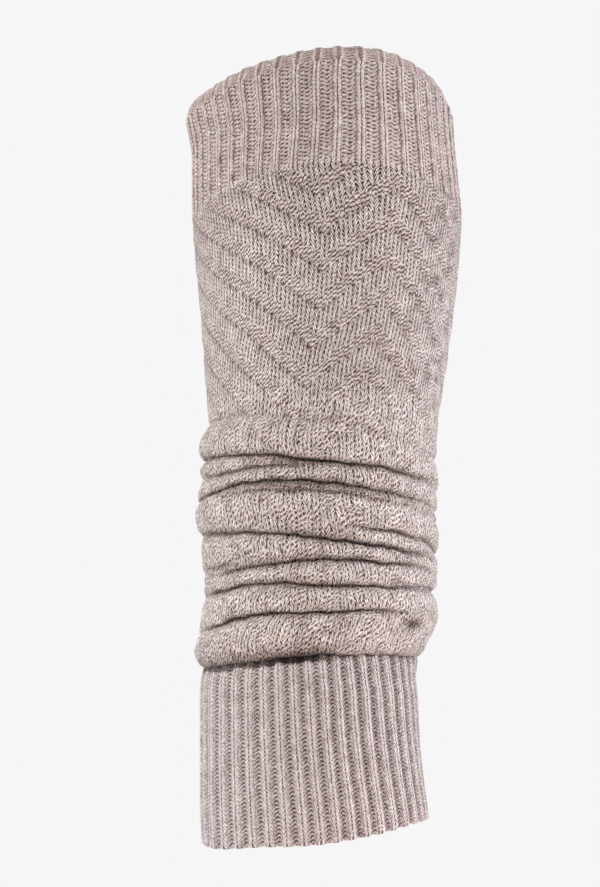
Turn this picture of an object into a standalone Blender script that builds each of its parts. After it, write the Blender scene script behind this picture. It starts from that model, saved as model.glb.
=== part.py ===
"""A leg warmer, slouched as it sits on a leg, hollow and open at both ends.

It is one knitted tube in three lengths, from the top down:
  top_cuff    a wide ribbed cuff whose upper edge rounds over and in
  leg         a smooth upper half, and a lower half pushed down into soft rolls
  ankle_cuff  a deep ribbed cuff with a slanting hem

Metres, +Z up. The tube stands along Z. Angles go round it in degrees: 0 at the front (-Y),
90 at +X, 180 at the back. The origin is on the axis, in the middle of the top cuff's grip.
"""

import bpy
import numpy as np

MM = 0.001

# ---- Named sizes, in millimetres -------------------------------------------------------
WALL = 2.0               # thickness of the plain knitted wall
CUFF_WALL = 1.7          # thickness at the bottom of a rib's groove
SEAM_GAP = 0.3           # space between two lengths where they join
RIBS = 45                # knit ribs round each cuff
TOP_RIB = 1.1            # how far a top rib stands out of its groove
ANKLE_RIB = 1.0          # how far an ankle rib stands out of its groove
RIM_DEPTH = 6.2          # how far the top rim turns inward
RIM_HEIGHT = 9.0         # the height over which it does so
SHIFT_X = 1.3            # moves the tube so that the grip's centre is on the axis
ABOVE_CREASE = 4.6       # reach of a crease up the underside of the roll above it
BELOW_CREASE = 7.5       # reach of a crease down the top of the roll below it
MERGE = 4.0              # how sharply two creases that meet run into one

# A rib, as places across it (in ribs) and whether they are on the rib or in the groove.
RIB_PLACES = ((-0.17, 1.0), (0.17, 1.0), (0.36, 0.0), (0.64, 0.0))

# ---- The tube, outside its rolls and ribs ----------------------------------------------
# height, radius, centre_x
TUBE = (
    (36.0, 62.6, -4.0),
    (18.0, 62.8, -3.6),
    (8.0, 62.0, -2.3),
    (0.0, 61.5, -1.3),
    (-12.0, 61.9, -0.6),
    (-24.0, 62.4, 0.0),
    (-34.0, 62.6, 0.5),
    (-52.0, 61.4, 0.5),
    (-67.0, 60.0, 0.5),
    (-85.0, 57.9, 0.2),
    (-109.0, 55.4, -0.6),
    (-122.0, 53.7, -1.2),
    (-130.0, 53.4, -1.8),
    (-138.0, 54.7, -3.6),
    (-158.0, 55.1, -3.4),
    (-171.0, 56.0, -4.7),
    (-184.0, 54.9, -3.2),
    (-197.0, 54.1, -2.8),
    (-211.0, 53.7, -2.9),
    (-223.0, 54.2, -3.8),
    (-229.0, 53.3, -6.0),
    (-235.0, 52.4, -8.1),
    (-242.0, 49.6, -8.4),
    (-257.0, 49.6, -8.0),
    (-275.0, 49.9, -7.6),
    (-293.0, 50.7, -6.7),
    (-310.0, 51.6, -5.5),
    (-330.0, 51.6, -4.3),
)

# ---- Lines round the tube: their height at each of these angles ------------------------
ANGLES = (-135, -90, -60, -30, 0, 30, 60, 90, 135, 180)
RIM = (18.0, 21.6, 24.2, 30.6, 35.6, 36.0, 30.6, 21.8, 17.0, 16.0)
UPPER_SEAM = (-23.2, -23.6, -23.0, -22.0, -21.6, -22.0, -22.6, -23.0, -23.4, -23.6)
HEM = (-318.0, -321.8, -325.0, -325.4, -324.4, -320.6, -314.4, -310.4, -310.5, -313.5)

# The creases from the top down, each a ring. A row gives its heights at ANGLES, then its
# depths there. Where the depth is nothing the two rolls beside it are one. The last crease
# runs along the lower seam.
# heights
# depths
CREASES = (
    ((-131, -128, -129.5, -132.5, -136.5, -141.5, -145.8, -146.4, -143, -136),
     (1.0, 1.6, 1.6, 1.5, 1.5, 1.4, 1.2, 2.4, 1.8, 1.2)),
    ((-147, -146, -148.3, -150.2, -153.8, -155.8, -159, -161.5, -158, -152),
     (3.4, 4.0, 4.0, 4.3, 4.4, 4.3, 3.6, 1.4, 2.6, 3.8)),
    ((-155.5, -155.4, -157, -155.6, -158.8, -161, -164, -166.3, -163, -159),
     (2.6, 1.4, 3.0, 2.0, 0.0, 0.0, 0.2, 0.6, 2.0, 2.8)),
    ((-164, -166, -164.2, -162.3, -163.6, -166.4, -169.2, -171.3, -169.5, -166),
     (2.4, 2.4, 3.6, 4.2, 4.2, 4.0, 3.2, 1.6, 1.4, 1.0)),
    ((-170, -171, -169, -167.4, -168.2, -171, -174, -176, -175, -172.5),
     (0.0, 0.0, 0.3, 1.8, 2.4, 2.4, 2.2, 1.2, 1.6, 1.0)),
    ((-178.5, -176.6, -179, -181.4, -184, -184.3, -186.2, -189.6, -187.5, -183),
     (1.2, 0.0, 0.0, 0.0, 0.8, 2.8, 3.4, 3.2, 3.0, 2.6)),
    ((-185, -181.2, -183.6, -185.2, -188.6, -191.3, -193.4, -195, -194, -190.5),
     (3.4, 2.6, 4.2, 4.4, 4.4, 4.2, 3.2, 0.4, 1.4, 3.0)),
    ((-194.5, -198.8, -198.6, -195.2, -194, -195.2, -196.4, -198.4, -198, -196),
     (0.6, 1.2, 2.4, 0.8, 0.0, 0.0, 0.0, 0.2, 0.4, 0.0)),
    ((-203, -204, -202.6, -200, -197.8, -198.6, -199, -201.5, -201.5, -202),
     (2.4, 0.6, 2.0, 3.8, 4.4, 4.2, 3.2, 0.4, 2.4, 3.4)),
    ((-210.5, -210, -209.4, -207.8, -209.2, -209.4, -208.2, -206.4, -207.5, -209),
     (3.2, 1.4, 3.6, 4.3, 4.4, 4.4, 4.2, 3.8, 3.2, 3.2)),
    ((-227.5, -227, -224.9, -221.6, -221.7, -220.3, -221.5, -223.5, -224.5, -226),
     (2.2, 0.9, 3.4, 4.0, 4.0, 3.6, 1.6, 0.6, 2.2, 3.0)),
    ((-240.5, -242, -244, -243.2, -240.8, -240, -239, -236.8, -236.5, -238),
     (2.2, 2.2, 2.6, 2.8, 2.8, 2.8, 2.6, 2.2, 2.2, 2.4)),
)
LOWER_SEAM = CREASES[-1][0]

# ---- How finely each length is divided -------------------------------------------------
LEG_COLUMNS = 72
LEG_INNER_COLUMNS = 36
CUFF_INNER_COLUMNS = 45
UPPER_LEG_STRIPS = 8
ROLL_STEPS = (0.0, 0.16, 0.45, 0.74, 0.9)       # places down a roll, from crease to crease
ROLL_INNER_STEPS = (0.0, 0.55)
TOP_CUFF_STEPS = (0.0, 0.18, 0.36, 0.6, 0.9)    # places down the top cuff, below its curl
CURL_TURNS = (86, 58, 30)                       # degrees round the curl, from the rim down
ANKLE_STEPS = (0.0, 0.045, 0.12, 0.4, 0.7, 1.0)


def joined(x, y, at):
    """A smooth line through the points x, y, read at the places given."""
    x, y = np.asarray(x, float), np.asarray(y, float)
    slope = np.gradient(y, x)
    i = np.clip(np.searchsorted(x, at) - 1, 0, len(x) - 2)
    span = x[i + 1] - x[i]
    t = (at - x[i]) / span
    return (y[i] * (1 + 2 * t) * (1 - t) ** 2 + slope[i] * span * t * (1 - t) ** 2
            + y[i + 1] * t * t * (3 - 2 * t) - slope[i + 1] * span * t * t * (1 - t))


def around(values, angle):
    """A closed line through values given at ANGLES, read at the angles wanted."""
    marks = np.array(ANGLES[-3:], float) - 360, ANGLES, np.array(ANGLES[:3], float) + 360
    heights = values[-3:], values, values[:3]
    turned = (np.asarray(angle, float) + 180) % 360 - 180
    return joined(np.concatenate(marks), np.concatenate(heights), turned)


def tube(height):
    """The tube's radius and its centre's x at a height."""
    rows = np.array(TUBE[::-1])
    at = np.asarray(height, float)
    return joined(rows[:, 0], rows[:, 1], at), joined(rows[:, 0], rows[:, 2], at) + SHIFT_X


def drawn_in(angle, height):
    """How far the creases draw the wall in at a place on the leg."""
    total = 0.0
    for lines, depths in CREASES:
        away = height - around(lines, angle)
        deep = np.maximum(around(depths, angle), 0.0)
        reach = np.where(away > 0, ABOVE_CREASE, BELOW_CREASE)
        total = total + (deep * np.clip(1 - np.abs(away) / reach, 0, 1) ** 2) ** MERGE
    return total ** (1 / MERGE)


def ring(angle, radius, height):
    """The points of one ring, from its angles, radii and heights."""
    angle, radius, height = np.broadcast_arrays(angle, radius, height)
    turn = np.radians(angle)
    centre = tube(height)[1]
    return np.stack([centre + radius * np.sin(turn), -radius * np.cos(turn), height], -1) * MM


def even_angles(count):
    """Angles of a number of columns set evenly round the tube."""
    return -180 + 360 * np.arange(count) / count


def rib_columns():
    """Angles of the columns that draw the ribs, and how far each is up its rib."""
    starts = np.arange(RIBS)[:, None] - RIBS // 2
    places = np.array(RIB_PLACES)
    angle = (starts + places[None, :, 0]).ravel() * 360 / RIBS
    return angle, np.tile(places[:, 1], RIBS)


def add_strip(faces, upper, lower, outward):
    """Quads between two rings of the same number of points."""
    count = len(upper)
    for j in range(count):
        k = (j + 1) % count
        face = (upper[j], lower[j], lower[k], upper[k])
        faces.append(face if outward else face[::-1])


def add_end(faces, outer, inner, outer_angle, inner_angle, up):
    """Triangles between an outer and an inner ring, which close one end of the wall."""
    i = j = 0
    while i < len(outer) or j < len(inner):
        a, b = outer[i % len(outer)], inner[j % len(inner)]
        next_outer = outer_angle[i + 1] if i + 1 < len(outer) else outer_angle[0] + 360
        next_inner = inner_angle[j + 1] if j + 1 < len(inner) else inner_angle[0] + 360
        if j >= len(inner) or (i < len(outer) and next_outer <= next_inner):
            face = (a, outer[(i + 1) % len(outer)], b)
            i += 1
        else:
            face = (a, inner[(j + 1) % len(inner)], b)
            j += 1
        faces.append(face if up else face[::-1])


def make_wall(name, outer_rings, inner_rings, outer_angle, inner_angle, colour):
    """One closed solid from the rings of its outside and inside, both from the top down."""
    points = np.concatenate(outer_rings + inner_rings)
    numbers = np.arange(len(outer_rings) * len(outer_angle))
    outer = numbers.reshape(len(outer_rings), -1)
    inner = np.arange(len(numbers), len(points)).reshape(len(inner_rings), -1)
    faces = []
    for upper, lower in zip(outer, outer[1:]):
        add_strip(faces, upper, lower, True)
    for upper, lower in zip(inner, inner[1:]):
        add_strip(faces, upper, lower, False)
    add_end(faces, outer[0], inner[0], outer_angle, inner_angle, True)
    add_end(faces, outer[-1], inner[-1], outer_angle, inner_angle, False)
    mesh = bpy.data.meshes.new(name)
    mesh.from_pydata(points.tolist(), [], [tuple(map(int, face)) for face in faces])
    mesh.shade_smooth()
    mesh.set_sharp_from_angle(angle=np.radians(50))
    material = bpy.data.materials.new(name + "_melange_knit")
    material.use_nodes = True
    shader = material.node_tree.nodes["Principled BSDF"]
    shader.inputs["Base Color"].default_value = (*colour, 1.0)
    shader.inputs["Roughness"].default_value = 0.95
    shader.inputs["Metallic"].default_value = 0.0
    mesh.materials.append(material)
    bpy.data.collections["leg_warmer"].objects.link(bpy.data.objects.new(name, mesh))


def top_cuff():
    """The upper ribbed cuff; its top curls over and in, and the inside follows it plainly."""
    angle, on_rib = rib_columns()
    inner_angle = even_angles(CUFF_INNER_COLUMNS)

    def rings(at, groove, rib):
        """Rings from the rim down, for a wall drawn in by groove and let out by rib."""
        rim, seam = around(RIM, at), around(UPPER_SEAM, at) + SEAM_GAP / 2
        level = rim - RIM_HEIGHT
        full = tube(level)[0]
        made = []
        for turn in np.radians(CURL_TURNS):
            out = -groove + rib * np.cos(turn) ** 0.5
            radius = full - RIM_DEPTH + (RIM_DEPTH + out) * np.cos(turn)
            height = level + (RIM_HEIGHT - groove + rib - TOP_RIB) * np.sin(turn)
            made.append(ring(at, radius, height))
        for step in TOP_CUFF_STEPS + (1.0,):
            height = level + (seam - level) * step
            made.append(ring(at, tube(height)[0] - groove + rib, height))
        return made

    make_wall("top_cuff", rings(angle, TOP_RIB, TOP_RIB * on_rib),
              rings(inner_angle, TOP_RIB + CUFF_WALL, 0.0), angle, inner_angle,
              (0.52, 0.43, 0.40))


def leg():
    """The leg: smooth above, and below it the rolls between the creases."""
    angle = even_angles(LEG_COLUMNS)
    inner_angle = even_angles(LEG_INNER_COLUMNS)

    def heights(at, upper_strips, steps):
        """The height of every ring from the upper seam down to the lower one."""
        lines = [around(UPPER_SEAM, at) - SEAM_GAP / 2]
        lines += [around(crease[0], at) for crease in CREASES]
        lines[-1] = lines[-1] + SEAM_GAP / 2
        rows = [lines[0] + (lines[1] - lines[0]) * i / upper_strips for i in range(upper_strips)]
        for high, low in zip(lines[1:], lines[2:]):
            rows += [high + (low - high) * step for step in steps]
        return rows + [lines[-1]]

    outer = [ring(angle, tube(h)[0] - drawn_in(angle, h), h)
             for h in heights(angle, UPPER_LEG_STRIPS, ROLL_STEPS)]

    def inside(at, height):
        """The inner radius: everywhere at least WALL away from the outside."""
        nearest = np.inf
        for offset in np.linspace(-0.95, 0.95, 13) * WALL:
            radius = tube(height + offset)[0] - drawn_in(at, height + offset)
            nearest = np.minimum(nearest, radius - np.sqrt(WALL ** 2 - offset ** 2))
        return nearest

    inner = [ring(inner_angle, inside(inner_angle, h), h)
             for h in heights(inner_angle, UPPER_LEG_STRIPS // 2, ROLL_INNER_STEPS)]
    make_wall("leg", outer, inner, angle, inner_angle, (0.50, 0.41, 0.38))


def ankle_cuff():
    """The lower ribbed cuff, from the seam under the last roll to the slanting hem."""
    angle, on_rib = rib_columns()
    inner_angle = even_angles(CUFF_INNER_COLUMNS)

    def rings(at, groove, rib):
        seam, hem = around(LOWER_SEAM, at) - SEAM_GAP / 2, around(HEM, at)
        made = []
        for step in ANKLE_STEPS:
            height = seam + (hem - seam) * step
            made.append(ring(at, tube(height)[0] - drawn_in(at, height) - groove + rib, height))
        return made

    make_wall("ankle_cuff", rings(angle, ANKLE_RIB, ANKLE_RIB * on_rib),
              rings(inner_angle, ANKLE_RIB + CUFF_WALL, 0.0), angle, inner_angle,
              (0.54, 0.45, 0.42))


for thing in list(bpy.data.objects):
    bpy.data.objects.remove(thing, do_unlink=True)
collection = bpy.data.collections.new("leg_warmer")
bpy.context.scene.collection.children.link(collection)
top_cuff()
leg()
ankle_cuff()
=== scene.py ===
"""The looks of a leg warmer, slouched as it sits on a leg: one knitted tube in three lengths.

Metres, +Z up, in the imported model's own frame. Angles go round the tube in degrees: 0 at the
front (-Y), 90 at +X, 180 at the back. A place on the cloth is told by its wale, counted round
the tube from the front, and by its course, counted down the length. A wale is one stitch wide
and a course one stitch high; 90 wales make the tube.
"""

from functools import partial

import bpy
import numpy as np
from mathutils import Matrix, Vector


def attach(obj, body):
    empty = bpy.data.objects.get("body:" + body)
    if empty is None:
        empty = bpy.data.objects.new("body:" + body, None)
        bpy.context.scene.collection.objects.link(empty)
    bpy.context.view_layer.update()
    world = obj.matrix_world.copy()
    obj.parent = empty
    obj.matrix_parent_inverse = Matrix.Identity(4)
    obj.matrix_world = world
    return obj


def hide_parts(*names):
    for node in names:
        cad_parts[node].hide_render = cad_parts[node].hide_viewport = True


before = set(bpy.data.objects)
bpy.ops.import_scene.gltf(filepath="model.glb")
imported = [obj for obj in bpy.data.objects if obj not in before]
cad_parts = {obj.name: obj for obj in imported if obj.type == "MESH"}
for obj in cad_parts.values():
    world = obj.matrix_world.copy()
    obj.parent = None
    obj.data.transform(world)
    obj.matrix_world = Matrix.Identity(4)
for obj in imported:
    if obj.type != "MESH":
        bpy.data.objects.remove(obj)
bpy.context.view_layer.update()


# ======================================================================================
# Top cuff: a wide 1 x 1 rib, one knit wale beside one purl wale, 45 ribs round. The rib
# draws in to grip the calf, and its upper edge rounds over and in. It is knitted in wool
# and acrylic, three courses of rib to about 5.5 mm.
# ======================================================================================

MM = 0.001
WALES = 90
WALL = 1.7                   # mm, the cloth at the bottom of a rib's groove
TOP_RIB = 1.1                # mm, how far a rib stands out of its groove
RIM_DEPTH = 6.2              # mm, how far the rim turns inward
RIM_HEIGHT = 9.0             # mm, the height over which it does so
TOP_COURSE = 1.84            # mm
RIM_COURSE = 1.35            # mm, in the rim, where the courses lie close
SHIFT_X = 1.3                # mm, from the tube's own middle to the grip's middle
COLUMNS = 6                  # mesh columns in a wale
TOP_ROWS = 98                # mesh rows down the cuff, below its rim
TOP_INSIDE = 20              # and on its inside
TOP_NARROW = 0.055           # how far a rib's knit wale draws together, in wales
TOP_CROWN = 0.1              # half the width of a rib's flat crown, in ribs
TOP_FOOT = 0.24              # half the width of its foot, in ribs
YARN_HEIGHT = 0.35           # mm, how far the yarn of a cuff's stitches stands out
SET_IN = 0.2                 # mm, how far the cloth is set in below its stitches
RIM_BLEND = 1.8              # mm, the height over which the rib turns into the rim's knit
UPRIGHT = 0.11               # degrees a mm, how fast the front ribs turn back with height
TOP_SHADE = 0.885            # how light the ribs are
TOP_GROOVE = 0.14            # how much darker painted shade makes their grooves
RIM_DARKER = 0.1             # how much darker painted shade makes the rim
RIM_EDGE = 0.68              # how light painted shade leaves its inner edge
TOP_YARN = ("A79692", "CFC0BD", "F2E8E6")   # dark, middle and pale fibres

# A knit stitch's legs: how many courses their strands slant up on the way out across a wale,
# how far they shift sideways, half their width in wales, and how deep the dips between them.
# A purl stitch's bumps: the bow of their line in courses, how often it bows across a wale and
# from where; how many courses it drops, in how many dashes to a wale; then the slots between
# them, how many to a wale and from where, and how deep the line stays between slots.
# Last, how uneven the wales, the courses and the yarn's surface are.
TOP_STITCH = dict(legs=(2.6, 0.12, 0.235, 0.55),
                  bumps=(0.25, 1.19, -0.34, 0.35, 1, 2.38, -0.34, 0.5),
                  uneven=(0.16, 0.6, 0.6))

# height, radius, centre_x of the tube outside its ribs and rolls, in mm
TUBE = np.array((
    (36.0, 62.6, -4.0), (18.0, 62.8, -3.6), (8.0, 62.0, -2.3), (0.0, 61.5, -1.3),
    (-12.0, 61.9, -0.6), (-24.0, 62.4, 0.0), (-34.0, 62.6, 0.5), (-52.0, 61.4, 0.5),
    (-67.0, 60.0, 0.5), (-85.0, 57.9, 0.2), (-109.0, 55.4, -0.6), (-122.0, 53.7, -1.2),
    (-130.0, 53.4, -1.8), (-138.0, 54.7, -3.6), (-158.0, 55.1, -3.4), (-171.0, 56.0, -4.7),
    (-184.0, 54.9, -3.2), (-197.0, 54.1, -2.8), (-211.0, 53.7, -2.9), (-223.0, 54.2, -3.8),
    (-229.0, 53.3, -6.0), (-235.0, 52.4, -8.1), (-242.0, 49.6, -8.4), (-257.0, 49.6, -8.0),
    (-275.0, 49.9, -7.6), (-293.0, 50.7, -6.7), (-310.0, 51.6, -5.5), (-330.0, 51.6, -4.3)))

# heights in mm, at these angles, of the lines where one length ends
ANGLES = (-135, -90, -60, -30, 0, 30, 60, 90, 135, 180)
RIM = (18.5, 21.8, 22.4, 28.6, 34.2, 35.0, 29.3, 21.2, 17.0, 16.0)
UPPER_SEAM = (-33.0, -33.5, -31.8, -25.8, -21.6, -22.0, -27.0, -32.0, -33.0, -33.0)

# where the calf stretches the cuff more, its ribs lie further apart: degrees that they are
# moved round by, at these angles
TOP_DRIFT = ((-180, 0), (-120, -2), (-60, -4), (-30, -3.6), (0, -3.2), (10, -1.8), (20, 1.2),
             (32, 4.2), (42, 5.4), (52, 5.0), (90, 3.5), (140, 1.5), (180, 0))


def joined(x, y, at):
    """A smooth line through the points x, y: a cubic between each two, with their slopes."""
    x, y = np.asarray(x, float), np.asarray(y, float)
    slope = np.gradient(y, x)
    i = np.clip(np.searchsorted(x, at) - 1, 0, len(x) - 2)
    span = x[i + 1] - x[i]
    t = (at - x[i]) / span
    return (y[i] * (1 + 2 * t) * (1 - t) ** 2 + slope[i] * span * t * (1 - t) ** 2
            + y[i + 1] * t * t * (3 - 2 * t) - slope[i + 1] * span * t * t * (1 - t))


def around(values, angle):
    """A closed smooth line round the tube through values given at ANGLES."""
    marks = np.array(ANGLES[-3:], float) - 360, ANGLES, np.array(ANGLES[:3], float) + 360
    turned = (np.asarray(angle, float) + 180) % 360 - 180
    return joined(np.concatenate(marks), np.concatenate((values[-3:], values, values[:3])), turned)


def tube(height):
    """The tube's radius and its centre's x at a height, all in mm."""
    rows = TUBE[::-1]
    radius = joined(rows[:, 0], rows[:, 1], height)
    return radius, joined(rows[:, 0], rows[:, 2], height) + SHIFT_X


def placed(angle, radius, height, sag=0.0):
    """Points in metres from angle, radius and height: a circle about the tube's centre line."""
    turn = np.radians(angle)
    centre = tube(height)[1]
    x, y = centre + radius * np.sin(turn), -radius * np.cos(turn)
    return np.stack([x, y, height - sag], -1) * MM


def eased(t):
    """0 below 0, 1 above 1, and between them t * t * (3 - 2 t)."""
    t = np.clip(t, 0, 1)
    return t * t * (3 - 2 * t)


def lumps(seed, wale, course, wide, tall):
    """Smooth random values from -1 to 1: one drawn for each block wide x tall stitches, and
    eased from block to block. Round the tube they close on themselves, and down it they
    repeat after 96 blocks."""
    draws = np.random.default_rng(seed).uniform(-1, 1, (96, WALES // wide))
    x, y = np.mod(wale, WALES) / wide, np.asarray(course) / tall + 8
    i, j = np.floor(x).astype(int), np.floor(y).astype(int)
    s, t = eased(x - i), eased(y - j)
    n, m = draws.shape[1], draws.shape[0]
    return ((draws[j % m, i % n] * (1 - s) + draws[j % m, (i + 1) % n] * s) * (1 - t)
            + (draws[(j + 1) % m, i % n] * (1 - s) + draws[(j + 1) % m, (i + 1) % n] * s) * t)


def stitch(wale, course, purl, legs, bumps):
    """How high the yarn stands in a stitch, 0 in the gaps to 1 on a strand. A knit stitch is
    two legs beside its middle line; each is a row of slanting strands, one a course, round
    across by (1 - (off / width) ** 2) ** 0.7. A purl stitch is a wave of yarn a course high,
    bent to a bow, with slots beside its bumps."""
    lean, tilt, width, dips = legs
    bow, waves, start, drop, dashes, slots, first, link = bumps
    across = wale - np.round(wale)
    phase = course + lean * (np.abs(across) - 0.25)
    along = phase - np.round(phase)
    off = np.abs(across) - 0.25 + tilt * along
    knit = np.clip(1 - (off / width) ** 2, 0, 1) ** 0.7 * (1 - dips * np.abs(2 * along) ** 3)
    dash = dashes * wale - np.round(dashes * wale)
    rise = course + bow * np.cos(2 * np.pi * waves * (across - start)) + drop * dash
    low = 1 - (0.5 + 0.5 * np.cos(2 * np.pi * rise)) ** 0.8
    slot = 0.5 + 0.5 * np.cos(2 * np.pi * slots * (across - first))
    bump = 1 - low * (link + (1 - link) * slot)
    return knit + (bump - knit) * purl


def facing(points):
    """Unit normals of a grid of points that closes on itself from left to right: the cross
    product of its slopes along and across."""
    across = np.roll(points, -1, 1) - np.roll(points, 1, 1)
    down = np.gradient(points, axis=0)
    normal = np.cross(down, across)
    return normal / np.maximum(np.linalg.norm(normal, axis=-1, keepdims=True), 1e-12)


def make_cloth(name, rows, maps, marks, normals=None):
    """One closed wall from rows of points that run down the outside, over the lower edge, up
    the inside and back to the start. maps gives each point's wale and course, and marks are
    the values that the knit's material reads: purl is 1 on purl stitches; edge is 1 where the
    cloth rolls over an edge and its stitches lie flat, and below 0 where they crowd together;
    shade is 1 in full light and less in grooves and creases."""
    count, columns = rows.shape[:2]
    i, j = np.meshgrid(np.arange(count), np.arange(columns), indexing="ij")
    below, beside = (i + 1) % count, (j + 1) % columns
    corners = np.stack([i * columns + j, below * columns + j,
                        below * columns + beside, i * columns + beside], -1).reshape(-1)
    mesh = bpy.data.meshes.new(name)
    mesh.vertices.add(count * columns)
    mesh.vertices.foreach_set("co", rows.reshape(-1).astype(np.float32))
    mesh.loops.add(len(corners))
    mesh.loops.foreach_set("vertex_index", corners.astype(np.int32))
    mesh.polygons.add(count * columns)
    mesh.polygons.foreach_set("loop_start", np.arange(0, len(corners), 4, dtype=np.int32))
    mesh.polygons.foreach_set("loop_total", np.full(count * columns, 4, dtype=np.int32))
    mesh.update(calc_edges=True)
    mesh.validate()

    wale, course = maps
    closed = np.concatenate([wale, wale[:, :1] + WALES], 1)
    level = np.concatenate([course, course[:, :1]], 1)
    corner_rows = np.stack([i, below, below, i], -1).reshape(-1)
    corner_columns = np.stack([j, j, j + 1, j + 1], -1).reshape(-1)
    stitches = mesh.uv_layers.new(name="stitches")
    pairs = np.stack([closed[corner_rows, corner_columns],
                      level[corner_rows, corner_columns]], -1)
    stitches.data.foreach_set("uv", pairs.reshape(-1).astype(np.float32))

    # a second map lays the whole wall out once, its rows as far apart as they really are
    bake = mesh.uv_layers.new(name="OFBake")
    steps = np.linalg.norm(np.roll(rows, -1, 0) - rows, axis=-1).mean(1)
    run = np.concatenate([[0], np.cumsum(steps)]) / steps.sum()
    along = np.stack([i, i + 1, i + 1, i], -1).reshape(-1)
    flat = np.stack([corner_columns / columns, run[along]], -1) * 0.996 + 0.002
    bake.data.foreach_set("uv", flat.reshape(-1).astype(np.float32))
    mesh.uv_layers.active = stitches
    stitches.active_render = True

    for mark, values in marks.items():
        values = np.broadcast_to(values, rows.shape[:2])
        mesh.attributes.new(mark, "FLOAT", "POINT").data.foreach_set(
            "value", values.reshape(-1).astype(np.float32))
    mesh.shade_smooth()
    if normals is not None:
        mesh.normals_split_custom_set_from_vertices(normals.reshape(-1, 3).tolist())
    piece = bpy.data.objects.new(name, mesh)
    bpy.context.scene.collection.objects.link(piece)
    return piece


def edge(upper, lower, bulge, outward):
    """Rows over an edge of the wall, from one row to the next: a half circle through both,
    bulging by a part of its radius in the outward direction."""
    turns = np.radians((45, 90, 135))[:, None, None]
    middle, half = (upper + lower) / 2, (upper - lower) / 2
    radius = np.linalg.norm(half, axis=-1, keepdims=True)
    return middle + half * np.cos(turns) + outward * radius * bulge * np.sin(turns)


def linear(code):
    """An sRGB hex colour as the linear colour a shader takes."""
    parts = np.array([int(code[k:k + 2], 16) for k in (0, 2, 4)]) / 255
    return (*np.where(parts <= 0.04045, parts / 12.92, ((parts + 0.055) / 1.055) ** 2.4), 1.0)


def add_node(tree, kind, *inputs, output="", stops=(), **settings):
    """Adds a node and gives back the output named, or else its first. Inputs are values or
    other nodes' outputs for the sockets in use, in their order, and None leaves one as it is.
    A Math node's operation follows its kind after a dot, and stops are a ramp's colours."""
    kind, *operation = kind.split(".")
    node = tree.nodes.new("ShaderNode" + kind)
    if operation:
        node.operation = operation[0]
    for name, value in settings.items():
        setattr(node, name, value)
    sockets = [socket for socket in node.inputs if socket.enabled]
    for socket, value in zip(sockets, inputs):
        if isinstance(value, bpy.types.NodeSocket):
            tree.links.new(value, socket)
        elif value is not None:
            socket.default_value = value
    for position, code in stops[1:-1]:
        node.color_ramp.elements.new(position)
    for k, (position, code) in enumerate(stops):
        node.color_ramp.elements[k].position = position
        node.color_ramp.elements[k].color = linear(code)
    results = [socket for socket in node.outputs if socket.enabled]
    return next((socket for socket in results if socket.name == output), results[0])


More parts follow.
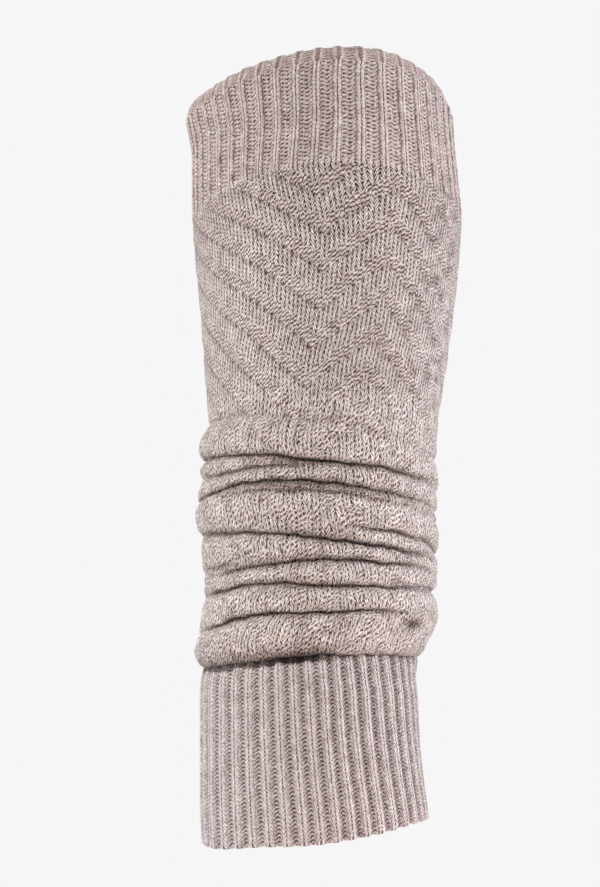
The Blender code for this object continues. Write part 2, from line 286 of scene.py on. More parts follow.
def melange_knit(name, legs, bumps, uneven, colours):
    """Melange yarn of wool and acrylic, spun soft and knitted: matt, with pale and dark
    fibres in each strand, dark gaps between the strands and a thin fuzz over all. Its
    stitches have the form that stitch gives, worked out again here at each point. Noises
    that read the place have their scale in lumps a metre, so 430 is one to 2.3 mm."""
    material = bpy.data.materials.new(name)
    material.use_nodes = True
    tree = material.node_tree
    shader = tree.nodes["Principled BSDF"]
    add = partial(add_node, tree)
    turn = 2 * np.pi
    lean, tilt, width, dips = legs
    bow, waves, start, drop, dashes, slots, first, link = bumps
    uneven_wale, uneven_course, rough = uneven

    stitches = add("UVMap", uv_map="stitches")
    place = add("TexCoord", output="Object")
    # No two stitches are alike: the pattern is pushed about a little.
    wale, course = (
        add("Math.ADD", add("SeparateXYZ", stitches, output=axis),
            add("Math.MULTIPLY_ADD", add("TexNoise", place, scale, 1.0, 0.5), by, -0.5 * by))
        for axis, scale, by in (("X", 430.0, uneven_wale), ("Y", 310.0, uneven_course)))
    # deep is the shade mark, painted shade that is multiplied into the colour further down
    purl, edge, deep = (add("Attribute", output="Fac", attribute_name=mark)
                        for mark in ("purl", "edge", "shade"))

    # A knit stitch. Over an edge its legs spread apart and thin out, and where stitches
    # crowd together they close up and fill out.
    across = add("Math.WRAP", wale, 0.5, -0.5)
    aside = add("Math.ABSOLUTE", across)
    phase = add("Math.MULTIPLY_ADD", aside, lean, add("Math.ADD", course, -0.25 * lean))
    along = add("Math.WRAP", phase, 0.5, -0.5)
    spread = add("Math.MULTIPLY_ADD", edge, -0.1, add("Math.ADD", aside, -0.25))
    off = add("Math.MULTIPLY", add("Math.MULTIPLY_ADD", edge, 0.25, 1.0),
              add("Math.MULTIPLY_ADD", along, tilt, spread))
    fall = add("Math.MULTIPLY_ADD", add("Math.MULTIPLY", off, off), -1 / width ** 2, 1.0)
    dip = add("Math.POWER", add("Math.MULTIPLY", add("Math.ABSOLUTE", along), 2.0), 3.0)
    knit = add("Math.MULTIPLY", add("Math.POWER", add("Math.MAXIMUM", fall, 0.0), 0.7),
               add("Math.MULTIPLY_ADD", dip, -dips, 1.0))
    knit = add("Math.MAXIMUM", knit, add("Math.MULTIPLY", edge, 0.4))

    # A purl stitch. Over an edge its bumps run together into lines.
    swing = add("Math.COSINE",
                add("Math.MULTIPLY_ADD", across, turn * waves, -turn * waves * start))
    dash = add("Math.WRAP", add("Math.MULTIPLY", wale, dashes), 0.5, -0.5)
    rise = add("Math.MULTIPLY_ADD", swing, add("Math.MULTIPLY_ADD", edge, -0.8 * bow, bow),
               add("Math.MULTIPLY_ADD", dash, drop, course))
    line, beside = (
        add("Math.MULTIPLY_ADD", add("Math.COSINE", turned), 0.5, 0.5) for turned in (
            add("Math.MULTIPLY", rise, turn),
            add("Math.MULTIPLY_ADD", across, turn * slots, -turn * slots * first)))
    low = add("Math.SUBTRACT", 1.0, add("Math.POWER", line, 0.8))
    slot = add("Math.MULTIPLY_ADD", add("Math.MAXIMUM", beside, edge), 1 - link, link)
    cut = add("Math.MULTIPLY", add("Math.MULTIPLY", low, slot),
              add("Math.MULTIPLY_ADD", edge, -0.3, 1.0))
    height = add("Mix", purl, knit, add("Math.SUBTRACT", 1.0, cut))

    # Fibres lie along each strand, so their noise is drawn out along it.
    strand = add("CombineXYZ", add("Math.MULTIPLY", wale, 6.0),
                 add("Math.MULTIPLY", add("Mix", purl, phase, rise), 2.0))
    fibres = add("TexNoise", strand, 1.0, 2.0, 0.6)
    specks = add("TexNoise", place, 1280.0, 2.0, 0.7)
    patches = add("TexNoise", place, 200.0, 2.0, 0.5)
    mixed = add("Math.MULTIPLY_ADD", patches, 0.24, -0.30)
    mixed = add("Math.MULTIPLY_ADD", specks, 0.64, mixed)
    mixed = add("Math.MULTIPLY_ADD", fibres, 0.72, mixed)
    dark, middle, light = colours
    yarn = add("ValToRGB", mixed, stops=((0.30, dark), (0.48, middle), (0.66, light)))
    tint = add("ValToRGB", add("TexNoise", place, 230.0, 2.0, 0.6),
               stops=((0.36, "FBF9F4"), (0.5, "FFFFFF"), (0.64, "FFF9FB")))

    # Gaps between strands show the dark inside of the cloth and are darkened with painted
    # shade, and some are wider than others.
    holes = add("Math.MULTIPLY_ADD", patches, 0.48 * rough, -1.04 * rough)
    holes = add("Math.MULTIPLY_ADD", fibres, 0.48 * rough, holes)
    holes = add("Math.MULTIPLY_ADD", specks, 1.12 * rough, holes)
    holes = add("Math.MULTIPLY", holes, add("Math.MULTIPLY_ADD", edge, -0.7, 1.0))
    gaps = add("ValToRGB", add("Math.ADD", height, holes),
               stops=((0.0, "4A3A37"), (0.33, "978984"), (0.66, "FFFFFF")))
    # Painted shade: the shade mark darkens the colour, down to dark brown in the creases.
    # Fibres cross the edge of a painted shadow, so it is ragged.
    half_lit = add("Math.MULTIPLY", deep, add("Math.POWER", add("Math.SUBTRACT", 1.0, deep), 2.0))
    ragged = add("Math.MULTIPLY", half_lit, add("Math.MULTIPLY_ADD", specks, 10.0, -5.0))
    painted_shade_colour = add("ValToRGB", add("Math.ADD", deep, ragged),
                stops=((0.0, "33251F"), (0.5, "BAAFAB"), (1.0, "FFFFFF")))
    darken = dict(data_type="RGBA", blend_type="MULTIPLY")
    fibre_colour = add("Mix", 1.0, yarn, tint, **darken)
    gaps_and_painted_shade = add("Mix", 1.0, gaps, painted_shade_colour, **darken)
    colour = add("Mix", 1.0, fibre_colour, gaps_and_painted_shade, **darken)
    tree.links.new(colour, shader.inputs["Base Color"])

    raised = add("Math.MULTIPLY_ADD", fibres, 0.3, height)
    tree.links.new(add("Bump", 1.0, 0.3 * MM, None, raised), shader.inputs["Normal"])
    shader.inputs["Roughness"].default_value = 0.95
    shader.inputs["Specular IOR Level"].default_value = 0.15
    shader.inputs["Sheen Weight"].default_value = 0.24
    shader.inputs["Sheen Roughness"].default_value = 0.5
    shader.inputs["Sheen Tint"].default_value = linear("FFFFFF")
    return material


def rib_angle(wale, narrow):
    """Angle of a place in a rib: a sine draws its knit wale together, or lets it out."""
    part = wale / 2 - np.round(wale / 2)
    return (wale - 2 * narrow * np.sin(2 * np.pi * part)) * 360 / WALES


def drifted(angle, drift):
    """Moves each wale round by the degrees given for it."""
    marks = np.array(drift, float)
    return angle + joined(marks[:, 0], marks[:, 1], angle)


def upright(angle, height):
    """Degrees that the ribs turn back by with height from -22 mm up, so that they stand
    upright where the tube leans: most just left of the front, on a bell curve round it."""
    return UPRIGHT * np.maximum(height, -22) * np.exp(-((angle + 8) / 38) ** 2)


def rib_height(wale, narrow, inner, outer):
    """How far up its rib a place is: 1 nearer to its middle than inner and 0 past outer, in
    ribs."""
    part = rib_angle(wale, narrow) * WALES / 720
    return eased((outer - np.abs(part - np.round(part))) / (outer - inner))


def in_groove(wale):
    """1 on the purl wales, which lie between the ribs, and 0 on the knit ones, eased over 0.06
    of a rib."""
    return eased((np.abs(wale / 2 - np.round(wale / 2)) - 0.22) / 0.06)


def out_of_rib(course):
    """0 in the rib and 1 in the leg's plain knit: the ribs open over 5 courses at the seam."""
    return eased((course + 2.5) / 5)


wale = np.arange(WALES * COLUMNS) / COLUMNS - WALES / 2
top_angle = drifted(rib_angle(wale, TOP_NARROW), TOP_DRIFT)
level = around(RIM, top_angle) - RIM_HEIGHT
seam = around(UPPER_SEAM, top_angle)
rim_turns = np.linspace(90, 2, 30)          # degrees round the rim, from its top to the tube


def top_cuff_wall(turns, steps, sunk):
    """Rows down the top cuff, sunk below its ribs: round the rim, which is a quarter of an
    ellipse, and then down the tube to the seam. Also their courses, counted up from the
    seam, below 0, and how far each is in the rim."""
    turn = np.radians(turns)[:, None]
    rim_radius = tube(level)[0] - RIM_DEPTH + (RIM_DEPTH - sunk) * np.cos(turn)
    rim_height = level + (RIM_HEIGHT - sunk) * np.sin(turn)
    height = level + (seam - level) * np.array(steps)[:, None]
    height = np.concatenate([rim_height, height])
    course = ((seam - np.minimum(height, level)) / TOP_COURSE
              - np.maximum(height - level, 0) / RIM_COURSE)
    in_rim = eased((height - level) / RIM_BLEND)
    opened = np.maximum(out_of_rib(course), in_rim)
    angle = drifted(rib_angle(wale, TOP_NARROW * (1 - opened)), TOP_DRIFT)
    angle = angle + upright(angle, height)
    radius = np.concatenate([rim_radius, tube(height[len(turns):])[0] - sunk])
    return placed(angle, radius, height), course, in_rim


plain, course, in_rim = top_cuff_wall(rim_turns, np.linspace(0, 1, TOP_ROWS), TOP_RIB)
opened = out_of_rib(course)
purl = in_groove(wale) * (1 - eased(1 + course / 2))
bent = course + 0.1 * lumps(1, wale, course, 2, 3)
rib = rib_height(wale, TOP_NARROW, TOP_CROWN, TOP_FOOT) * (1 - 0.5 * in_rim)
yarn_height = YARN_HEIGHT * (1 - 0.8 * in_rim)
relief = (TOP_RIB * (rib * (1 - opened) + opened) - SET_IN
          + yarn_height * stitch(wale, bent, purl, TOP_STITCH["legs"], TOP_STITCH["bumps"]))
outside = plain + facing(plain) * relief[..., None] * MM
inside, inside_course, _ = top_cuff_wall((86, 60, 30), np.linspace(0, 1, TOP_INSIDE),
                                         TOP_RIB + WALL)
inside, inside_course = inside[::-1], inside_course[::-1]
rim = edge(inside[-1], outside[0], 0.7, np.array((0, 0, 1.0)))

rows = np.concatenate([outside, inside, rim])
courses = np.concatenate([course, inside_course, np.repeat(course[:1], len(rim), 0)])
sides = np.concatenate([purl, np.tile(1 - in_groove(wale), (len(inside), 1)),
                        np.tile(in_groove(wale), (len(rim), 1))])
edges = np.concatenate([in_rim, 0 * inside_course, np.ones((len(rim), len(wale)))])
# painted shade: the ribs are a little darker towards the sides, and most towards the right;
# their grooves, the rim and the rim's inner edge are darker as well
aside = np.sin(np.radians(top_angle))
shade = TOP_SHADE - 0.03 * np.abs(aside) - 0.05 * np.clip(aside, 0, 1)
shades = np.concatenate([shade - TOP_GROOVE * purl - RIM_DARKER * in_rim,
                         np.ones((len(inside), len(wale))),
                         np.full((len(rim), len(wale)), RIM_EDGE)])
cuff = make_cloth("top_cuff_knit", rows, (np.tile(wale, (len(rows), 1)), courses),
                  dict(purl=sides, edge=edges, shade=shades))
cuff.data.materials.append(
    melange_knit("wool_acrylic_rib_knit", **TOP_STITCH, colours=TOP_YARN))
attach(cuff, "root")
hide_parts("top_cuff")


# ======================================================================================
# Leg: plain knit with chevrons of purl courses, knitted on from the cuff. Its upper half
# lies smooth on the calf; the rest has slid down into a stack of soft rolls. It is one
# tube, made here as three bands that meet on a course.
# ======================================================================================

LEG_WALL = 2.0               # mm
LEG_COURSE = 2.13            # mm, a course's height on the smooth part
SMOOTH_END = -122.0          # mm, the height where the rolls begin
SMOOTH_COURSES = 47          # courses above the rolls
ROLL_COURSES = 62            # courses in the rolls
COURSE_ROWS = 4              # mesh rows in a course
INNER_ROWS = 8               # mesh rows outside for each row inside
BAND_COURSES = 36            # courses in each of the two upper bands
ABOVE_CREASE = 4.6           # mm, reach of a crease up the underside of the roll above it
BELOW_CREASE = 7.5           # mm, reach of a crease down the top of the roll below it
MERGE = 4.0                  # how sharply two creases that meet run into one
SAG = 1.5                    # mm, how far a roll hangs down over its crease
ROLL_EDGE = 5.0              # mm, how much of the roll does so
SLOT_WIDTH = 1.15            # mm, half the width of the narrow slot in a crease
SLOT_DEPTH = 1.3             # mm
SHUT_FROM = 1.2              # mm, a crease this deep begins to shut
SHUT_OVER = 2.4              # mm, how much deeper it is quite shut
SHADE_ABOVE = 3.2            # mm, reach of a crease's shade up the roll above it
SHADE_BELOW = 2.4            # mm, and down the roll below it
LEG_STITCH = dict(legs=(3.0, 0.3, 0.212, 0.75),
                  bumps=(0.12, 1.0, 0.0, 0.6, 2, 2.0, 0.25, 0.85),
                  uneven=(0.22, 0.8, 0.8))
LEG_YARN = ("B4A4A0", "E1D3D0", "FFF9F6")
RIDGE = 0.55                 # mm, how far the purl courses stand out at their lower edge
CHEVRON_WALES = 30           # wales after which the chevrons repeat round the leg
CHEVRON_POINT = 7            # wales to where they point down
CHEVRON_COURSES = 8          # courses from one chevron to the next
PURL_COURSES = 3             # how many of them are purl
CHEVRON_START = 4.9          # courses that the first chevron is moved up by
CHEVRON_CLIMB = 1.5          # courses that they climb in a wale
PUCKER = (55, -225.0)        # degrees and mm, a dimple where folds run out
PUCKER_SIZE = (7.0, 2.4)     # mm, its reach to the side and up or down
PUCKER_RADIUS = 54.0         # mm, how far out it lies

# the creases from the top down: heights in mm at ANGLES, then depths in mm there
CREASES = (
    ((-131, -130, -131, -133, -136.5, -141.5, -145.8, -146.4, -143, -136),
     (1.4, 1.6, 1.8, 1.8, 1.6, 1.5, 1.2, 2.2, 1.8, 1.2)),
    ((-147, -146, -148.3, -150.2, -153.8, -155.8, -159, -161.5, -158, -152),
     (3.4, 4.0, 4.0, 4.3, 4.4, 4.3, 3.6, 1.4, 2.6, 3.8)),
    ((-155.5, -155.4, -157, -155.8, -157.6, -160.5, -164, -166.3, -163, -159),
     (2.6, 1.6, 3.2, 3.2, 1.8, 0.6, 0.2, 0.6, 2.0, 2.8)),
    ((-164, -166, -164.2, -162.3, -163.6, -166.4, -169.2, -171.3, -169.5, -166),
     (2.4, 2.4, 3.6, 4.2, 4.2, 4.0, 3.2, 1.6, 1.4, 1.0)),
    ((-170, -171, -169, -167.4, -168.2, -171, -174, -176, -175, -172.5),
     (0.0, 0.0, 1.3, 2.3, 2.4, 2.4, 2.1, 1.2, 1.6, 1.0)),
    ((-178.5, -176.6, -179, -181.4, -184, -184.3, -186.2, -189.6, -187.5, -183),
     (1.2, 0.0, 0.0, 0.0, 0.8, 2.8, 3.4, 3.2, 3.0, 2.6)),
    ((-185, -181.2, -183.6, -185.2, -188.6, -191.3, -193.4, -195, -194, -190.5),
     (3.4, 2.6, 4.2, 4.4, 4.4, 4.2, 3.2, 0.4, 1.4, 3.0)),
    ((-194.5, -198.8, -198.6, -195.2, -194, -195.2, -196.4, -198.4, -198, -196),
     (0.6, 1.2, 2.4, 0.8, 0.0, 0.0, 0.0, 0.2, 0.4, 0.0)),
    ((-203, -204, -202.6, -200, -197.8, -198.6, -199, -201.5, -201.5, -202),
     (2.4, 0.6, 2.0, 3.8, 4.4, 4.2, 3.2, 0.4, 2.4, 3.4)),
    ((-210.5, -210, -209.4, -207.8, -209.2, -209.4, -208.2, -206.4, -207.5, -209),
     (3.2, 1.4, 3.6, 4.3, 4.4, 4.4, 4.2, 3.8, 3.2, 3.2)),
    ((-227.5, -227, -224.9, -221.6, -221.7, -220.3, -221.5, -223.5, -224.5, -226),
     (2.2, 0.9, 3.4, 4.0, 4.0, 3.6, 1.6, 0.6, 2.2, 3.0)),
    ((-240.5, -242, -244, -243.2, -240.8, -240, -239, -236.8, -236.5, -238),
     (2.2, 2.2, 2.6, 2.8, 2.8, 2.8, 2.6, 2.2, 2.2, 2.4)))
LOWER_SEAM = CREASES[-1][0]
SHADOW = (0.4, 0.5, 0.75, 0.85, 1.0, 0.0, 0.1, 0.2, 0.3, 0.3)   # of the lowest roll, at ANGLES

# height in mm and how many degrees the wales have turned there
TURN = np.array(((-245, -9.0), (-137, -8.8), (-109, -7.6), (-95, -4.6), (-75, -2.6),
                 (-40, -0.6), (-20, 0.0)), float)


def drawn_in(angle, height):
    """How far the creases draw the wall in, in mm: each as the square of the way left to its
    line, and the deepest of them where they meet."""
    total = 0.0
    for lines, depths in CREASES:
        away = height - around(lines, angle)
        deep = np.maximum(around(depths, angle), 0.0)
        reach = np.where(away > 0, ABOVE_CREASE, BELOW_CREASE)
        total = total + (deep * np.clip(1 - np.abs(away) / reach, 0, 1) ** 2) ** MERGE
    return total ** (1 / MERGE)


def puckered(angle, height):
    """How deep in the pucker a place is, from 0 to 1: a bell curve to the side and in
    height."""
    aside = np.radians(angle - PUCKER[0]) * PUCKER_RADIUS
    return np.exp(-(aside / PUCKER_SIZE[0]) ** 2 - ((height - PUCKER[1]) / PUCKER_SIZE[1]) ** 2)


def hung_over(angle, height):
    """How far a roll's lower edge hangs down over its crease, in mm; how deep in the narrow
    slot of a crease a place is, 0 to 1; and how near to a crease on either side, 0 to 1. All
    are less where a crease is shallow and at the right, where the folds run out."""
    sag = slot = under = 0.0
    runs_out = 1 - 0.6 * np.exp(-((angle - 72) / 24) ** 2)
    for lines, depths in CREASES:
        away = height - around(lines, angle)
        deep = eased((around(depths, angle) - SHUT_FROM) / SHUT_OVER) * runs_out
        part = np.clip(away / ROLL_EDGE, 0, 1)
        sag = sag + SAG * deep * 6.75 * part * (1 - part) ** 2       # SAG at its most
        slot = np.maximum(slot, deep * np.clip(1 - np.abs(away) / SLOT_WIDTH, 0, 1))
        reach = np.where(away > 0, SHADE_ABOVE, SHADE_BELOW)
        under = np.maximum(under, deep * np.clip(1 - np.abs(away) / reach, 0, 1))
    slot = slot * (0.7 + 0.5 * lumps(11, angle / 4, height / 6, 9, 2))   # and uneven in depth
    return sag, np.maximum(slot, puckered(angle, height)), under


def crowded(angle, height):
    """1 between two creases less than 4 mm apart, eased to 0 where they are 7 mm apart.
    Creases shallower than 1.6 mm count less."""
    deepest = 0.0
    for (upper, upper_depth), (lower, lower_depth) in zip(CREASES, CREASES[1:]):
        top, low = around(upper, angle), around(lower, angle)
        shallower = np.minimum(around(upper_depth, angle), around(lower_depth, angle))
        near = np.clip(shallower / 1.6, 0, 1) * eased((7 - top + low) / 3)
        deepest = np.maximum(deepest, near * eased(top - height) * eased(height - low))
    return deepest


def chevron(wale, course):
    """Courses from the upper edge of a chevron: the course, raised by how far the chevron has
    climbed from the point that it lies beside, and counted again from 0 at each chevron."""
    step = np.mod(wale, CHEVRON_WALES)
    climb = np.where(step < CHEVRON_POINT, CHEVRON_CLIMB * step,
                     CHEVRON_CLIMB * CHEVRON_POINT - CHEVRON_CLIMB * (step - CHEVRON_POINT))
    return np.mod(course + climb + CHEVRON_START, CHEVRON_COURSES)


def wavy(angle, height):
    """Heights pushed up and down by broad and by small lumps, so that the creases don't run
    true."""
    broad = 0.4 * lumps(9, angle / 4, height / 2, 2, 3)
    return height + broad + 0.45 * lumps(13, angle / 4, height / 2, 1, 1)


def inner_radius(angle, height):
    """The inside of the leg in mm: everywhere at least the wall's thickness inwards."""
    nearest = np.inf
    for offset in np.linspace(-0.95, 0.95, 9) * LEG_WALL:
        radius = tube(height + offset)[0] - drawn_in(angle, wavy(angle, height + offset))
        nearest = np.minimum(nearest, radius - np.sqrt(LEG_WALL ** 2 - offset ** 2))
    return nearest


def level_angle(wale, height):
    """The angle of a wale at a height: the ribs open out below the seam, the cuff's stretch
    fades away over the next 40 mm, and the wales turn as TURN says."""
    opened = out_of_rib((around(UPPER_SEAM, wale * 4) - height) / LEG_COURSE)
    even = wale * 360 / WALES
    stretched = drifted(even, TOP_DRIFT)
    stretched = (stretched - even + upright(stretched, height)) * eased((height + 60) / 40)
    turned = joined(TURN[:, 0], TURN[:, 1], height)
    return rib_angle(wale, TOP_NARROW * (1 - opened)) + stretched + turned


# Heights are first set evenly down each wale, then moved so that courses lie evenly.
top, bottom = seam, around(LOWER_SEAM, wale * 4 - 9)    # where the wales have turned by 9
fine = np.linspace(0, 1, 900)[:, None]
height = top + (bottom - top) * fine
angle = level_angle(wale, height)
sag, slot, under = hung_over(angle, wavy(angle, height))
radius = tube(height)[0] - drawn_in(angle, wavy(angle, height)) - SLOT_DEPTH * slot
steps = np.hypot(np.diff(radius, axis=0), np.diff(height - sag, axis=0))
way = np.concatenate([np.zeros((1, len(wale))), steps.cumsum(0)])


def read(column_values, column_marks, at):
    """Reads a line given down each column at marks that grow, by one straight lookup."""
    apart = 1e4 * np.arange(column_marks.shape[1])
    marks, values = (column_marks + apart).T.ravel(), column_values.T.ravel()
    return np.interp((at + apart).T.ravel(), marks, values).reshape(at.shape[::-1]).T


smooth_way = read(way, -height, np.full((1, len(wale)), -SMOOTH_END))
course = np.arange((SMOOTH_COURSES + ROLL_COURSES) * COURSE_ROWS + 1)[:, None] / COURSE_ROWS
course = course + 0 * wale
roll_way = (way[-1] - smooth_way) * (course - SMOOTH_COURSES) / ROLL_COURSES
target = np.where(course < SMOOTH_COURSES, smooth_way * course / SMOOTH_COURSES,
                  smooth_way + roll_way)
height = read(height, way, target)
angle = level_angle(wale, height)
sag, slot, under = hung_over(angle, wavy(angle, height))
drawn = drawn_in(angle, wavy(angle, height))
plain = placed(angle, tube(height)[0] - drawn - SLOT_DEPTH * slot, height, sag)

# The stitches lie a little unevenly, and more so in the rolls, where some have turned over.
rolled = eased((course - SMOOTH_COURSES + 2) / 4)
bent = course + (0.12 + 0.5 * rolled) * lumps(3, wale, course, 2, 3)
bent_wale = wale + 0.3 * rolled * lumps(4, wale, course, 2, 3)
purl = sum(chevron(np.round(wale + 0 * course + side), np.floor(course + rise)) < PURL_COURSES
           for side in (-0.15, 0.15) for rise in (-0.2, 0.2)) / 4 * (1 - 0.4 * rolled)
purl = np.maximum(purl, 0.6 * rolled * np.clip(2 * lumps(27, wale, course, 1, 1), 0, 1))

# Each chevron rises slowly to its ridge and drops off below it. To the right of the front the
# chevrons are fainter, and behind they are clear again; in the rolls they are pulled flat.
past = chevron(wale, course - 4.0) / CHEVRON_COURSES
in_view = 1 - eased((wale - 18) / 6)
to_right = eased(wale + 0.5) * in_view, eased((wale - 9) / 5) * in_view
faint = (1 - 0.35 * to_right[0] - 0.33 * to_right[1]) * (1 - 0.5 * rolled)
ridge = np.minimum(past / 0.85, (1 - past) / 0.15) * faint
below_ridge = np.exp(-((np.mod(past + 0.5, 1) - 0.5) / 0.07) ** 2) * faint
in_rib = (1 - rib_height(wale, TOP_NARROW, TOP_CROWN, TOP_FOOT)) * (1 - out_of_rib(course))
gentle = (1.3, *LEG_STITCH["legs"][1:])            # as steep as the mesh can carry
yarn_height = 0.25 - 0.1 * purl + 0.12 * rolled
relief = (RIDGE * (ridge - 0.6) * eased(course / 6)
          + yarn_height * stitch(bent_wale, bent, purl, gentle, LEG_STITCH["bumps"])
          - SET_IN - 0.07 * rolled - 0.1 * eased(course / 3)
          + 0.12 * lumps(5, wale, course, 3, 3) - TOP_RIB * in_rib)
outside = plain + facing(plain) * relief[..., None] * MM
normals = facing(outside)

knit = melange_knit("wool_acrylic_chevron_knit", **LEG_STITCH, colours=LEG_YARN)
inner_rows = np.arange(0, len(outside), INNER_ROWS)
if inner_rows[-1] != len(outside) - 1:
    inner_rows = np.append(inner_rows, len(outside) - 1)
inner_angle, inner_height = angle[inner_rows], height[inner_rows]
inner_depth = inner_radius(inner_angle, inner_height) - SLOT_DEPTH * rolled[inner_rows]
inner = placed(inner_angle, inner_depth, inner_height, sag[inner_rows])
inner_normals = -facing(inner)

# Painted shade, which the shade mark multiplies into the colour: the first courses below the
# cuff, the creases' slots and valleys, the strips between crowded creases, the pucker, the cloth
# beside each crease, the lowest roll's underside above the seam and the cloth right of the front
# are darker. Creases are darkest at the front, and light from the sides fills them further
# round. Below each ridge the painted shade is darkest at holes halfway between the wales.
front = 0.1 + 0.9 * np.clip(np.cos(np.radians(angle + 12)), 0, 1) ** 1.3
valley = np.clip((drawn - 0.9) / 2.4, 0, 1)
seam_shadow = (around(SHADOW, angle)
               * np.clip(1 - (height - around(LOWER_SEAM, angle)) / 6.5, 0, 1) ** 1.3)
halfway = 0.5 - 0.5 * np.cos(2 * np.pi * wale)      # 1 halfway between two wales
holes = 0.12 + (0.75 + 0.35 * lumps(21, wale, course, 1, 2)) * halfway ** 2
blotches = (0.12 * rolled * np.clip(lumps(23, wale, course, 1, 1), 0, 1)
            + 0.5 * to_right[1] * (1 - rolled) * np.clip(lumps(25, wale, course, 1, 2), 0, 1))
shade = 0.79 + 0.14 * eased(course / 22) + 0.04 * eased((course - 54) / 8)
for darker, where in (
        (0.66 * front, eased(slot * 1.3)),
        (1.0, blotches),
        (0.32 * front, valley),
        (0.92, puckered(angle, height)),
        (0.26 * front, under),
        (0.95, seam_shadow),
        (0.38 * front, crowded(angle, height)),
        (0.17, purl),
        (0.12 * (1 - rolled), np.exp(-((wale - 9) / 5) ** 2)),
        (0.06 * rolled, np.exp(-((wale - 15) / 6) ** 2)),
        (0.92 * eased(course / 3), np.minimum(below_ridge * holes, 1))):
    shade = shade * (1 - darker * where)

# The bands share the rows where they meet, and the normals there, so that no line shows.
band_rows = BAND_COURSES * COURSE_ROWS
cuts = (0, band_rows, 2 * band_rows, len(outside) - 1)
for number, (first, last) in enumerate(zip(cuts, cuts[1:])):
    part = slice(first, last + 1)
    within = np.flatnonzero((inner_rows >= first) & (inner_rows <= last))[::-1]
    zeros = np.zeros((len(within), len(wale)))
    rows = np.concatenate([outside[part], inner[within]])
    wales = np.concatenate([bent_wale[part], zeros + wale])
    courses = np.concatenate([bent[part], course[inner_rows[within]]])
    sides = np.concatenate([purl[part], 1 - purl[inner_rows[within]]])
    edges = np.concatenate([-0.25 * rolled[part], zeros])
    shades = np.concatenate([shade[part], zeros + 1])
    band = make_cloth("leg_knit_%d" % (number + 1), rows, (wales, courses),
                      dict(purl=sides, edge=edges, shade=shades),
                      np.concatenate([normals[part], inner_normals[within]]))
    band.data.materials.append(knit)
    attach(band, "root")
    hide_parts("leg")


# ======================================================================================
# Ankle cuff: a deep 1 x 1 rib on the same 90 stitches, with a plain slanting hem. The
# lowest roll hangs over its seam.
# ======================================================================================

ANKLE_RIB = 1.0              # mm, how far a rib stands out of its groove
ANKLE_COURSES = 46
ANKLE_COLUMNS = 5            # mesh columns in a wale
ANKLE_INSIDE = 20            # mesh rows on the inside
ANKLE_CROWN = 0.17           # half the width of a rib's flat crown, in ribs
ANKLE_FOOT = 0.32            # half the width of its foot, in ribs
ANKLE_NARROW = 0.0           # its ribs and grooves lie evenly
ANKLE_STITCH = dict(legs=(-2.6, -0.15, 0.255, 0.85),
                    bumps=(0.3, 1.0, 0.06, 0.15, 1, 1.0, 0.0, 0.5),
                    uneven=(0.15, 0.35, 0.35))
ANKLE_YARN = ("A59998", "CDC2C2", "F0EAEB")
# degrees that the ribs are moved round by, halfway down
ANKLE_DRIFT = ((-180, 0), (-130, -7), (-90, -11), (-56, -8.2), (-48, -4.6), (-40, -2.6),
               (-32, -1.2), (-24, 0), (-8, 0.8), (8, 0.7), (24, 0), (40, 0.4), (56, 2.4),
               (90, 3), (130, 1.5), (180, 0))
# how many courses the shadow of the roll above reaches down, at ANGLES
SHADOW_COURSES = (1.6, 1.6, 1.6, 1.8, 2.2, 1.6, 1.6, 1.6, 1.6, 1.6)
HEM = (-316.5, -320.3, -323.9, -323.8, -323.1, -318.6, -312.8, -309.5, -309.5, -312.5)

# mesh columns, set so that they lie alike on both sides of a rib
ankle_wale = np.arange(WALES * ANKLE_COLUMNS) / ANKLE_COLUMNS - WALES / 2 + 0.1
ankle_angle = drifted(rib_angle(ankle_wale, ANKLE_NARROW), ANKLE_DRIFT)


def ankle_wall(steps, sunk):
    """Rows down the ankle cuff, sunk below its ribs, from the seam to the hem. The ribs
    turn a little to the right on the way down, most on that side."""
    step = np.array(steps)[:, None]
    angle = ankle_angle + (step - 0.5) * (2.5 + 4 * np.sin(np.radians(ankle_angle)))
    seam, hem = around(LOWER_SEAM, angle), around(HEM, angle)
    height = seam + (hem - seam) * step
    return placed(angle, tube(height)[0] - drawn_in(angle, wavy(angle, height)) - sunk, height)


plain = ankle_wall(np.linspace(0, 1, ANKLE_COURSES * COURSE_ROWS + 1), ANKLE_RIB)
course = np.arange(len(plain))[:, None] / COURSE_ROWS + 0 * ankle_wale
purl = in_groove(ankle_wale) + 0 * course
bent = course + 0.1 * lumps(7, ankle_wale, course, 2, 3)
relief = (ANKLE_RIB * rib_height(ankle_wale, ANKLE_NARROW, ANKLE_CROWN, ANKLE_FOOT)
          + YARN_HEIGHT * stitch(ankle_wale, bent, purl, ANKLE_STITCH["legs"],
                                 ANKLE_STITCH["bumps"]) - SET_IN)
outside = plain + facing(plain) * relief[..., None] * MM
up = np.linspace(1, 0, ANKLE_INSIDE)
inside = ankle_wall(up, ANKLE_RIB + WALL)
hem = edge(outside[-1], inside[0], 0.8, np.array((0, 0, -1.0)))
rows = np.concatenate([outside, hem, inside])
courses = np.concatenate([course, np.repeat(course[-1:], len(hem), 0),
                          up[:, None] * ANKLE_COURSES + 0 * ankle_wale])
sides = np.concatenate([purl, np.repeat(purl[-1:], len(hem), 0),
                        1 - np.repeat(purl[-1:], len(inside), 0)])
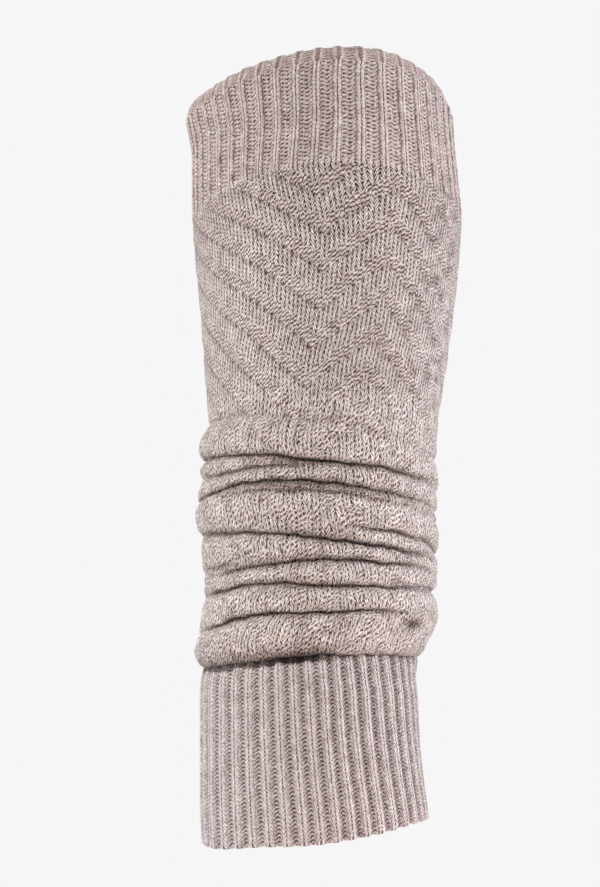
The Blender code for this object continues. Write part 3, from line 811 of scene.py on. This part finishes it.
# painted shade: grooves are dark, and the cuff darker at the right, most of all in its grooves;
# the roll above throws a ragged painted shadow
reach = around(SHADOW_COURSES, ankle_angle) + 0.5 * lumps(29, ankle_wale, 0 * ankle_wale, 1, 1)
shadow = around(SHADOW, ankle_angle) * eased(2.5 * (1 - course / reach))
right = np.clip(np.sin(np.radians(ankle_angle)), 0, 1)
shades = np.concatenate([(0.98 - 0.07 * right - (0.34 + 0.26 * right) * purl) * (1 - shadow),
                         np.ones((len(hem) + len(inside), len(ankle_wale)))])
ankle = make_cloth("ankle_cuff_knit", rows, (np.tile(ankle_wale, (len(rows), 1)), courses),
                   dict(purl=sides, edge=0, shade=shades))
ankle.data.materials.append(
    melange_knit("wool_acrylic_ankle_rib_knit", **ANKLE_STITCH, colours=ANKLE_YARN))
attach(ankle, "root")
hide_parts("ankle_cuff")


# ======================================================================================
# Floor, light and camera: a plain pale studio, softly lit from the front and both sides.
# The floor is a sheet of matt white paper that turns up into the wall behind.
# ======================================================================================

FLOOR = -0.55                # m, well below the hem
FLOOR_FRONT = -5.0           # m, where the paper begins, in front
FLOOR_LENGTH = 9.0           # m of paper from there
FLOOR_BACK = 1.5             # m, where it begins to turn up
FLOOR_BEND = 0.8             # m, radius of the turn

across, along = np.meshgrid(np.linspace(-4, 4, 9), np.linspace(0, 1, 60), indexing="ij")
run = along * FLOOR_LENGTH + FLOOR_FRONT
bend = np.clip((run - FLOOR_BACK) / FLOOR_BEND, 0, np.pi / 2)
back = np.where(run < FLOOR_BACK, run, FLOOR_BACK + FLOOR_BEND * np.sin(bend))
wall = np.maximum(run - FLOOR_BACK - FLOOR_BEND * np.pi / 2, 0)
tall = FLOOR + np.where(run < FLOOR_BACK, 0, FLOOR_BEND * (1 - np.cos(bend)) + wall)
points = np.stack([across, back, tall], -1).reshape(-1, 3)
columns, rows = across.shape
i, j = np.meshgrid(np.arange(columns - 1), np.arange(rows - 1), indexing="ij")
faces = np.stack([i * rows + j, (i + 1) * rows + j, (i + 1) * rows + j + 1, i * rows + j + 1], -1)
mesh = bpy.data.meshes.new("studio_floor")
mesh.from_pydata(points.tolist(), [], faces.reshape(-1, 4).tolist())
mesh.shade_smooth()
floor = bpy.data.objects.new("studio_floor", mesh)
bpy.context.scene.collection.objects.link(floor)
# matt paper, lit evenly by a light of its own, so that it shows no shadows
paper = bpy.data.materials.new("matt_white_paper")
paper.use_nodes = True
matt = paper.node_tree.nodes["Principled BSDF"]
matt.inputs["Base Color"].default_value = linear("000000")
matt.inputs["Roughness"].default_value = 1.0
matt.inputs["Specular IOR Level"].default_value = 0.0
matt.inputs["Emission Color"].default_value = linear("F6F6F6")
matt.inputs["Emission Strength"].default_value = 1.0
mesh.materials.append(paper)
floor.visible_diffuse = False


def soft_light(name, place, aim, size, power, colour="FFFFFF"):
    """A square soft box that faces a point."""
    lamp = bpy.data.lights.new(name, "AREA")
    lamp.size, lamp.energy, lamp.color = size, power, linear(colour)[:3]
    box = bpy.data.objects.new(name, lamp)
    box.location = place
    box.rotation_euler = (Vector(place) - Vector(aim)).to_track_quat("Z", "Y").to_euler()
    bpy.context.scene.collection.objects.link(box)


soft_light("front_light", (-0.3, -2.0, 1.2), (0, 0, -0.25), 1.2, 33)
soft_light("low_light", (0.0, -2.0, -1.05), (0, 0, -0.3), 1.2, 26)
soft_light("left_light", (-1.6, 0.0, -0.1), (0, 0, -0.15), 1.0, 20)
soft_light("right_light", (1.5, 0.0, 0.0), (0, 0, -0.15), 1.0, 27, "F3F7FF")
soft_light("floor_glow", (0.1, -0.3, -0.6), (0.02, 0.0, -0.32), 0.3, 1.2, "FFE9DE")
world = bpy.data.worlds.new("studio")
world.use_nodes = True
world.node_tree.nodes["Background"].inputs["Color"].default_value = linear("F6F6F6")
world.node_tree.nodes["Background"].inputs["Strength"].default_value = 0.5
bpy.context.scene.world = world
bpy.context.scene.view_settings.view_transform = "Standard"

# The camera stands low in front, 1.5 m away, and looks up by 9 degrees through a long lens.
lens = bpy.data.cameras.new("camera")
lens.lens = 134.0
camera = bpy.data.objects.new("camera", lens)
camera.location = (-0.01081, -1.5003, -0.37627)
camera.rotation_euler = (np.radians(99), 0, 0)
bpy.context.scene.collection.objects.link(camera)
bpy.context.scene.camera = camera
